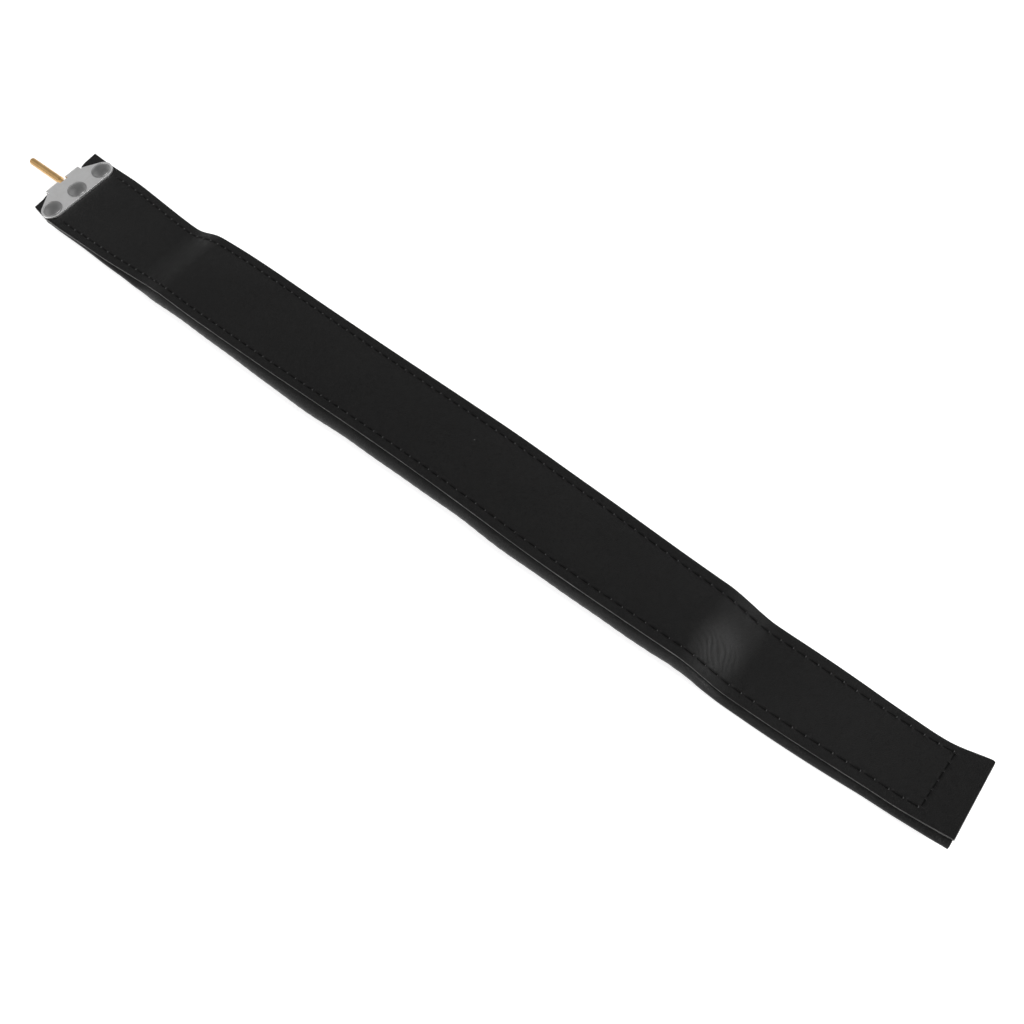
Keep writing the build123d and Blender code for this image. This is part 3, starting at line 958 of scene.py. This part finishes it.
@dataclass
class Core:
    """Hidden pieces between the leathers: the stretch-stop tape and the foam."""

    form: StrapForm
    finishes: Finishes
    lining: LiningLeather
    tape_t: float = 0.8
    tape_inset: float = 2.0
    foam_rings: int = 90
    foam_sides: int = 64

    def tape(self, half: Half) -> bpy.types.Object:
        """One length of the tape, laid against the face leather's underside."""
        rows = along(self.form, half, 2.6, 2.6)
        low, high = self.form.relief_x, self.form.end - 6.0
        between = rows[(rows > low) & (rows < high)]
        rows = np.unique([max(rows[0], low), *between, min(rows[-1], high)])
        shares = np.linspace(-1, 1, 17)
        piece, row, column = grid_indices(f"core_strip_{half.value}_length", len(rows), len(shares))
        s = rows[row]
        reach = self.form.seam(s) - self.tape_inset
        across = shares[column] * reach
        crown = self.form.pad_share(s) * (0.75 * (1 - (across / self.form.seam(s)) ** 2) - 0.3)
        z = self.form.level(s) + crown - self.form.face_t - 0.3
        place(piece, self.form.world(s, self.form.middle_line.at(s) + across, z))
        apply_modifier(piece, "SOLIDIFY", thickness=(self.tape_t - 0.2) * MM, offset=-1.0, use_rim=True)
        dressed(piece, "core_strip", self.finishes.tape)
        smooth(piece)
        return piece

    def foam(self) -> bpy.types.Object:
        """Foam pad, crowned, thin at the ends and pinched along the seams."""
        piece, share, angle = tube_indices("foam_pad_filling", self.foam_rings, self.foam_sides)
        form = self.form
        s0, s1 = form.pad_rise[0] + 8.0, form.pad_fall[1] - 8.0
        s = s0 + (s1 - s0) * share
        seam, own = form.seam(s), coords(piece)
        reach = (seam - 2.6) * np.minimum(1.0, np.hypot(own[:, 0], own[:, 1]) / 0.5)
        across = reach * np.sign(np.cos(angle)) * np.abs(np.cos(angle)) ** 0.55
        top = form.level(s) - form.face_t - self.tape_t - 1.0
        crown = 0.6 * (1 - (across / seam) ** 2)
        floor = self.lining.floor(s)
        bulge = 1 - np.sqrt(np.clip(1 - (np.abs(across) / seam) ** 4, 0, 1))
        base = floor + 1.1 + (top - 1.2 - floor) * bulge
        thick = np.maximum(top + crown - base, 0.4)
        lift_share = 0.5 + 0.5 * np.sign(np.sin(angle)) * np.abs(np.sin(angle)) ** 0.4
        place(piece, form.world(s, form.middle_line.at(s) + across, base + thick * lift_share))
        face_outwards(piece)
        dressed(piece, "foam", self.finishes.foam)
        smooth(piece, 60)
        return piece

    def fit(self) -> None:
        """Build the foam and both lengths of tape and put them in the frame."""
        foam = self.foam()
        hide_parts("foam_pad")
        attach(foam, "padded_middle")
        for half in Half:
            piece = self.tape(half)
            stand_in(piece, "core_strip", half)
            rows = coords(piece)[:, 0]
            width = 2 * float(np.mean(self.form.seam(rows / MM - self.form.rivet_x) - self.tape_inset))
        LOG.info("foam and tape done")


# ---------------------------------------------------------------- seams


class Level(Enum):
    """Which face of the strap a row of stitches shows on."""

    NEEDLE = "needle"
    BOBBIN = "bobbin"


@dataclass
class Seams:
    """Rows of stitches, each stitch a short float that dives into its needle holes."""

    form: StrapForm
    finishes: Finishes
    lining: LiningLeather
    float_length: float = 5.1
    thread_r: float = 0.26
    dive: float = 0.5
    loop_at: float = 0.38

    def stitch(self) -> tuple[np.ndarray, list[tuple[int, ...]], np.ndarray]:
        """Model one stitch about its own middle.

        Returns:
            Its vertex places with X along it in shares of its length, its faces and its corner UVs.
        """
        piece, share, angle = tube_indices("stitch_pattern", 15, 8)
        radius = np.hypot(coords(piece)[:, 0], coords(piece)[:, 1]) / 0.5
        t = 2 * share - 1
        x = np.sign(t) * np.abs(t) ** 0.8 / 2
        loop_with_painted_glint = hump(x, self.loop_at, 0.07)
        swell = self.thread_r * (0.8 + 0.2 * np.sqrt(np.clip(1 - t ** 6, 0, 1)) + 0.5 * loop_with_painted_glint)
        y = radius * swell * np.cos(angle) * 1.15
        z = radius * swell * np.sin(angle) - self.dive * np.abs(t) ** 5 + 0.4 * loop_with_painted_glint
        faces = [tuple(p.vertices) for p in piece.data.polygons]
        turn = (angle / (2 * math.pi)) % 1.0
        uvs = np.array([(share[i], turn[i]) for f in faces for i in f])
        bpy.data.objects.remove(piece)
        return np.stack([x, y, z], axis=1), faces, uvs

    def row(self, name: str, places: Sequence[Matrix]) -> bpy.types.Object:
        """Copy the stitch to every place in one row.

        Args:
            name: Name of the row's piece.
            places: Place of each stitch, in millimetres in the row frame; X is scaled to its length.

        Returns:
            The row as one piece.
        """
        pattern, faces, uvs = self.stitch()
        points, polygons = [], []
        for k, matrix in enumerate(places):
            m = np.array(matrix)
            points.append(pattern @ m[:3, :3].T + m[:3, 3])
            polygons += [tuple(i + k * len(pattern) for i in f) for f in faces]
        mesh = bpy.data.meshes.new(name)
        mesh.from_pydata(np.concatenate(points) * MM, [], polygons)
        mesh.uv_layers.new(name="UVMap").data.foreach_set("uv", np.tile(uvs, (len(places), 1)).ravel())
        piece = linked(name, mesh)
        face_outwards(piece)
        dressed(piece, "thread", self.finishes.thread)
        smooth(piece, 80)
        return piece

    def surface(self, level: Level, s: float, side: Side) -> float:
        """Height at which a stitch of a long seam lies."""
        at = np.array([s])
        if level is Level.NEEDLE:
            y = self.form.middle_line.at(at) + side.value * self.form.seam(at, side.value)
            return float(self.form.face(at, y)[0]) + 0.04
        _, z = self.lining.half_section(at, side)
        return float(z[0, 4 + self.lining.roll_steps + self.lining.under_steps - 1]) - 0.05

    def long_places(self, level: Level, side: Side, half: Half) -> list[Matrix]:
        """Place of each stitch of one long seam in one half of the strap."""
        form = self.form
        bounds = (form.seam_start, form.split) if half is Half.PLATE else (form.split, form.cross_seam)
        flip = 1 if level is Level.NEEDLE else -1
        places = []
        for i in range(int((form.cross_seam - form.seam_start) / form.pitch)):
            s = form.cross_seam - form.pitch * (i + 0.5)
            if not bounds[0] <= s < bounds[1]:
                continue
            ends = np.array([s - form.pitch / 2, s + form.pitch / 2])
            ys = form.middle_line.at(ends) + side.value * form.seam(ends, side.value)
            zs = [self.surface(level, float(e), side) for e in (s - 1.6, s + 1.6)]
            run = Vector((self.float_length, float(ys[1] - ys[0]), (zs[1] - zs[0]) / 3.2 * self.float_length))
            across = Vector((0, 0, 1)).cross(run).normalized()
            up = run.cross(across).normalized() * flip
            middle_y = float(np.mean(ys)) + 0.06 * math.sin(i * 2.7)
            origin = Vector((s + form.rivet_x, middle_y, self.surface(level, s, side)))
            turn = Matrix((run, across, up)).transposed().to_4x4()
            places.append(Matrix.Translation(origin) @ turn)
        return places

    def cross_places(self, level: Level) -> list[Matrix]:
        """Place of each stitch of the short seam."""
        s = np.array([self.form.cross_seam])
        middle = float(self.form.middle_line.at(s)[0])
        low, high = (middle + side.value * float(self.form.seam(s, side.value)[0]) for side in Side)
        pitch = (high - low) / self.form.cross_count
        flip = 1 if level is Level.NEEDLE else -1
        places = []
        for i in range(self.form.cross_count):
            y = low + pitch * (i + 0.5)
            z = float(self.form.face(s, np.array([y]))[0]) + 0.04
            if level is Level.BOBBIN:
                z = float(self.lining.floor(s)[0]) - 0.02
            x = self.form.cross_seam + self.form.rivet_x
            places.append(Matrix(((0, -1, 0, x), (pitch * 0.98, 0, 0, y), (0, 0, flip, z), (0, 0, 0, 1))))
        return places

    def fit(self) -> None:
        """Build every row of stitches and put it in the frame."""
        for level in Level:
            for side in Side:
                side_name = side.name.lower()
                for half in Half:
                    piece = self.row(f"{level.value}_stitches_{side_name}_{half.value}_length",
                                     self.long_places(level, side, half))
                    stand_in(piece, f"{level.value}_thread_{side_name}", half)
            piece = self.row(f"{level.value}_stitches_cross_seam", self.cross_places(level))
            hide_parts(f"{level.value}_thread_cross_seam")
            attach(piece, "plain_end")
            LOG.info("%s rows done", level.value)


# ---------------------------------------------------------------- hardware


@dataclass
class Hardware:
    """End plate, rivets, cross bar and rod."""

    form: StrapForm
    finishes: Finishes
    nodes: dict[str, bpy.types.Object]
    cap_profile: tuple[tuple[float, float], ...] = (
        (4.7, 0.0), (4.95, 0.06), (5.02, 0.2), (4.95, 0.36), (4.72, 0.5), (4.4, 0.75), (3.9, 1.08),
        (3.2, 1.42), (2.3, 1.72), (1.3, 1.92), (0.4, 1.99))
    post_profile: tuple[tuple[float, float], ...] = (
        (0.5, 0.14), (2.3, 0.12), (3.6, 0.03), (4.2, 0.02), (4.5, 0.16), (4.62, 0.45), (4.6, 0.85),
        (4.4, 1.0), (1.8, 1.02), (1.7, 1.2), (1.7, 6.9), (1.4, 7.1), (1.35, 8.0))
    rod_r: float = 1.95
    neck_r: float = 1.35
    thread_pitch: float = 0.7
    thread_depth: float = 0.09
    thread_from: float = -17.5
    plate_edge: float = 0.24
    notch_half: float = 2.5
    notch_depth: float = 0.9

    def plate(self) -> bpy.types.Object:
        """Folded sheet with its stamped edges broken."""
        piece = only(linked("folded_end_plate", self.nodes["end_plate"].data.copy()))
        bpy.ops.object.mode_set(mode="EDIT")
        bpy.ops.mesh.select_all(action="SELECT")
        bpy.ops.mesh.remove_doubles(threshold=1e-6)
        bpy.ops.mesh.dissolve_limited(angle_limit=math.radians(1.0))
        bpy.ops.object.mode_set(mode="OBJECT")
        self.open_notch(piece)
        apply_modifier(piece, "BEVEL", width=self.plate_edge * MM, segments=3, limit_method="ANGLE",
                       angle_limit=math.radians(50))
        dressed(piece, "end_plate", self.finishes.zinc)
        smooth(piece, 35)
        apply_modifier(piece, "WEIGHTED_NORMAL", keep_sharp=True)
        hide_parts("end_plate")
        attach(piece, "plate_end")
        return piece

    def open_notch(self, piece: bpy.types.Object) -> None:
        """Open the rod's notch a little wider through the top of the fold."""
        low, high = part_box("end_plate")
        back = middle_of("cross_bar").x + self.notch_depth * MM
        front = low.x - MM
        bpy.ops.object.select_all(action="DESELECT")
        bpy.ops.mesh.primitive_cube_add(size=1.0, location=((front + back) / 2, 0.0, high.z))
        cutter = added("notch_cutter")
        cutter.scale = (back - front, 2 * self.notch_half * MM, high.z - low.z)
        bpy.ops.object.transform_apply(location=True, rotation=True, scale=True)
        apply_modifier(piece, "BOOLEAN", operation="DIFFERENCE", solver="EXACT", object=cutter)
        bpy.data.objects.remove(cutter)

    def placed(self, piece: bpy.types.Object, origin: Vector) -> bpy.types.Object:
        """Move a piece turned in millimetres to its place in the frame."""
        place(piece, coords(piece) * MM + np.array(origin)[None, :])
        return piece

    def rivets(self) -> None:
        """A domed cap above and a headed post below, for each rivet."""
        for name in ("near", "middle", "far"):
            centre = middle_of(f"rivet_cap_{name}")
            for title, node, profile, angle in (("domed_cap", "rivet_cap", self.cap_profile, 70),
                                                ("headed_post", "rivet_post", self.post_profile, 50)):
                node = f"{node}_{name}"
                foot = Vector((centre.x, centre.y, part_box(node)[0].z))
                piece = self.placed(turned(f"{title}_{name}", profile), foot)
                dressed(piece, "rivet", self.finishes.gunmetal)
                smooth(piece, angle)
                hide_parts(node)
                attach(piece, "plate_end")

    def rod_radius(self, s: np.ndarray, angle: np.ndarray) -> np.ndarray:
        """Radius of the rod at each place along it and round it."""
        bar = middle_of("cross_bar").x / MM - self.form.rivet_x
        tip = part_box("draw_rod")[0].x / MM - self.form.rivet_x
        shoulder = self.neck_r + (self.rod_r - self.neck_r) * np.clip((bar - 3.4 - s) / 0.8, 0, 1)
        turn = ((s - angle / (2 * math.pi) * self.thread_pitch) / self.thread_pitch) % 1.0
        cut = self.thread_depth * np.abs(2 * turn - 1) ** 0.8
        threaded = 1 - ease(s, (self.thread_from - 1.0, self.thread_from))
        chamfer = 0.62 * np.clip(1 - (s - tip) / 0.7, 0, 1) ** 1.3
        return shoulder - cut * threaded - chamfer

    def rod(self) -> bpy.types.Object:
        """Draw rod with its neck, its fine thread and a chamfered tip."""
        centre = middle_of("cross_bar")
        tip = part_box("draw_rod")[0].x / MM - self.form.rivet_x
        root = centre.x / MM - self.form.rivet_x - 0.6
        piece, share, angle = tube_indices("brass_draw_rod", 300, 28)
        radius = np.hypot(coords(piece)[:, 0], coords(piece)[:, 1]) / 0.5
        s = tip + (root - tip) * share
        around = radius * self.rod_radius(s, angle)
        points = self.form.world(s, around * np.cos(angle), around * np.sin(angle))
        place(piece, points + np.array([0.0, centre.y, centre.z]))
        face_outwards(piece)
        dressed(piece, "rod", self.finishes.brass)
        smooth(piece, 50)
        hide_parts("draw_rod")
        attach(piece, "draw_rod")
        return piece

    def bar(self) -> bpy.types.Object:
        """Cross bar with turned grooves by the rod and rounded ends."""
        low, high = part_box("cross_bar")
        centre, length = (low + high) / 2, (high.y - low.y) / MM
        half = length / 2
        profile = ((1.3, 0.0), (1.72, 0.12), (1.9, 0.5), (1.9, half - 2.1), (1.84, half - 1.9),
                   (1.84, half + 1.9), (1.9, half + 2.1), (1.9, length - 0.5), (1.72, length - 0.12),
                   (1.3, length))
        piece = turned("brass_cross_bar", profile, 32)
        only(piece)
        bpy.ops.object.mode_set(mode="EDIT")
        bpy.ops.mesh.select_all(action="SELECT")
        bpy.ops.transform.translate(value=(0, 0, -length / 2))
        bpy.ops.object.mode_set(mode="OBJECT")
        points = coords(piece)
        place(piece, np.stack([points[:, 0], points[:, 2], -points[:, 1]], axis=1))
        self.placed(piece, centre)
        dressed(piece, "rod", self.finishes.brass)
        smooth(piece, 40)
        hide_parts("cross_bar")
        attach(piece, "draw_rod")
        return piece

    def fit(self) -> None:
        """Build all the metal pieces."""
        self.plate()
        self.rivets()
        self.bar()
        self.rod()
        LOG.info("hardware done")


# ---------------------------------------------------------------- stage


@dataclass
class Studio:
    """Pale floor, soft light and the camera."""

    camera_at: tuple[float, float, float] = (0.22012, -0.12742, 0.35843)
    camera_turn: tuple[float, float, float] = (27.705, 5.767, 39.997)
    lens: float = 35.156

    def floor(self) -> None:
        """Plain pale floor under the part."""
        w = Surface("pale_floor")
        tone = w.noise(w.place, 6.0, 2.0)
        material = w.wear(Base_Color=w.mix(tone, grey(0.66), grey(0.70)), Roughness=0.9,
                          Specular_IOR_Level=0.1, Emission_Color=grey(1.0), Emission_Strength=0.7)
        bpy.ops.object.select_all(action="DESELECT")
        bpy.ops.mesh.primitive_plane_add(size=24.0, location=(0, 0, -0.0001))
        floor = added("pale_floor")
        floor.data.materials.append(material)

    def sky(self) -> None:
        """Room light: dimmer overhead than round the horizon."""
        world = bpy.data.worlds.new("soft_room")
        bpy.context.scene.world = world
        world.use_nodes = True
        w = Wiring(world.node_tree)
        direction = w.node("TexCoord").outputs["Generated"]
        parts = w.node("SeparateXYZ", in_Vector=direction)
        horizon = w.mix(w.ramp(parts.outputs["X"], -0.85, 0.2), grey(0.55), grey(1.35))
        colour = w.mix(w.ramp(parts.outputs["Z"], 0.22, 0.9), horizon, grey(0.40))
        colour = w.mix(w.node("LightPath").outputs["Is Camera Ray"], colour, grey(1.0))
        background = world.node_tree.nodes["Background"]
        world.node_tree.links.new(colour, background.inputs["Color"])
        background.inputs["Strength"].default_value = 1.0

    def lamp(self, name: str, at: tuple[float, float, float], size: float, power: float) -> None:
        """One square soft light that looks at the strap."""
        light = bpy.data.lights.new(name, "AREA")
        light.shape = "SQUARE"
        light.size = size
        light.energy = power
        lamp = linked(name, light)
        lamp.location = at
        lamp.rotation_euler = (-Vector(at)).to_track_quat("-Z", "Y").to_euler()

    def camera(self) -> None:
        """Camera over the plain end, looking back along the strap."""
        data = bpy.data.cameras.new("camera")
        data.lens = self.lens
        data.sensor_width = 36.0
        data.clip_start = 0.01
        data.clip_end = 50.0
        camera = linked("camera", data)
        camera.location = self.camera_at
        camera.rotation_euler = [math.radians(a) for a in self.camera_turn]
        bpy.context.scene.camera = camera

    def set_up(self) -> None:
        """Build the stage."""
        self.floor()
        self.sky()
        self.lamp("right_softbox", (1.3, 0.35, 1.1), 0.9, 15.0)
        self.lamp("left_softbox", (-1.2, -0.9, 1.3), 1.6, 2.5)
        self.camera()
        bpy.context.scene.view_settings.view_transform = "Standard"


def main() -> None:
    """Build the strap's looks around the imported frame."""
    logging.basicConfig(level=logging.INFO, format="%(name)s %(message)s")
    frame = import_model()
    form = StrapForm.from_frame()
    finishes = Finishes(form.point(*form.polished, form.plain_face + 2.0))
    lining = LiningLeather(form, finishes)
    FaceLeather(form, finishes).fit()
    lining.fit()
    Core(form, finishes, lining).fit()
    Seams(form, finishes, lining).fit()
    Hardware(form, finishes, frame["nodes"]).fit()
    Studio().set_up()


if __name__ == "__main__":
    main()
